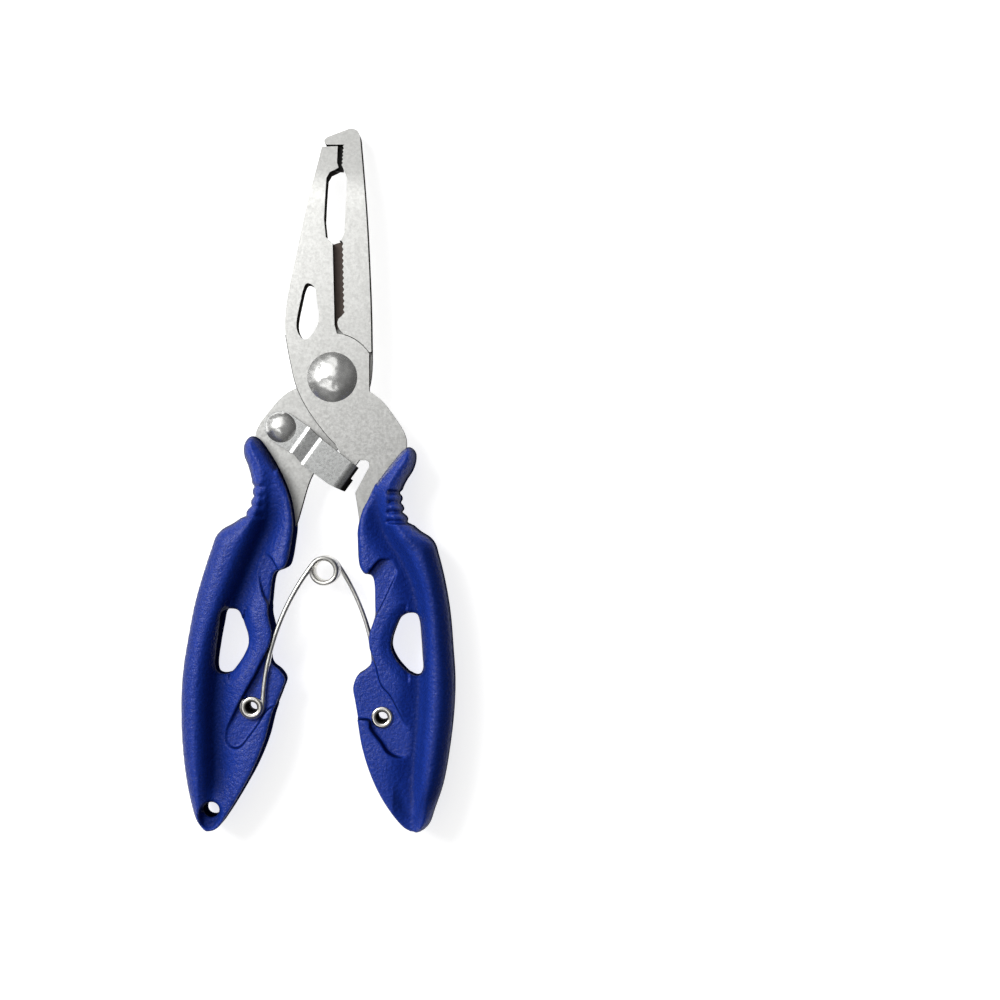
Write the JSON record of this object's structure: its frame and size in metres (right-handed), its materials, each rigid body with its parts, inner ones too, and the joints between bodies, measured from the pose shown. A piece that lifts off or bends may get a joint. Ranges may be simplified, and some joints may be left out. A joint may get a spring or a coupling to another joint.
{
  "type": "fishing pliers",
  "caption": "Slim fishing pliers with bent nose, hooked tip, side cutter and wire eye, moulded grips, a hairpin return spring and a swing latch.",
  "frame": {"origin": "middle of the footprint, on the surface that the pliers lie on, back face down", "axes": "+Y towards the jaw tips, +Z out of the front face, +X towards the right grip seen from the front"},
  "size_m": [0.0484, 0.1258, 0.0114],
  "materials": {
    "steel": "satin tumbled stainless",
    "grip": "fine textured moulded plastic",
    "rivet": "polished",
    "ferrule": "nickel plated",
    "spring_wire": "drawn wire"
  },
  "bodies": {
    "left_half": {"rear_plate": "steel", "left_grip": "grip", "pivot_rivet": "rivet", "latch_rivet": "rivet", "left_ferrule": "ferrule"},
    "right_half": {"front_plate": "steel", "right_grip": "grip", "right_ferrule": "ferrule"},
    "latch": {"latch_lever": "steel"},
    "spring_left": {"spring_left_arm": "spring_wire"},
    "spring_right": {"spring_right_arm": "spring_wire"}
  },
  "joints": [
    {"name": "jaw_open", "type": "hinge", "parent": "left_half", "child": "right_half", "pos_m": [0, 0.0182, 0.0057], "axis": [0, 0, 1], "range_deg": [0, 28], "deforming": ["spring_left_arm", "spring_right_arm"]},
    {"name": "latch_swing", "type": "hinge", "parent": "left_half", "child": "latch", "pos_m": [-0.0088, 0.009, 0.0057], "axis": [0, 0, 1], "range_deg": [-30, 8]},
    {"name": "spring_left_swing", "type": "hinge", "parent": "left_half", "child": "spring_left", "pos_m": [-0.0115, -0.04045, 0.0057], "axis": [0, 0, 1], "range_deg": [-30, 0], "deforming": ["spring_left_arm", "spring_right_arm"]},
    {"name": "spring_right_swing", "type": "hinge", "parent": "spring_left", "child": "spring_right", "pos_m": [0, -0.016, 0.0057], "axis": [0, 0, 1], "range_deg": [0, 87], "deforming": ["spring_left_arm", "spring_right_arm"]}
  ],
  "couplings": [
    {"joint": "spring_left_swing", "follows": "jaw_open", "ratio": -1.0532},
    {"joint": "spring_right_swing", "follows": "jaw_open", "ratio": 3.0925}
  ]
}
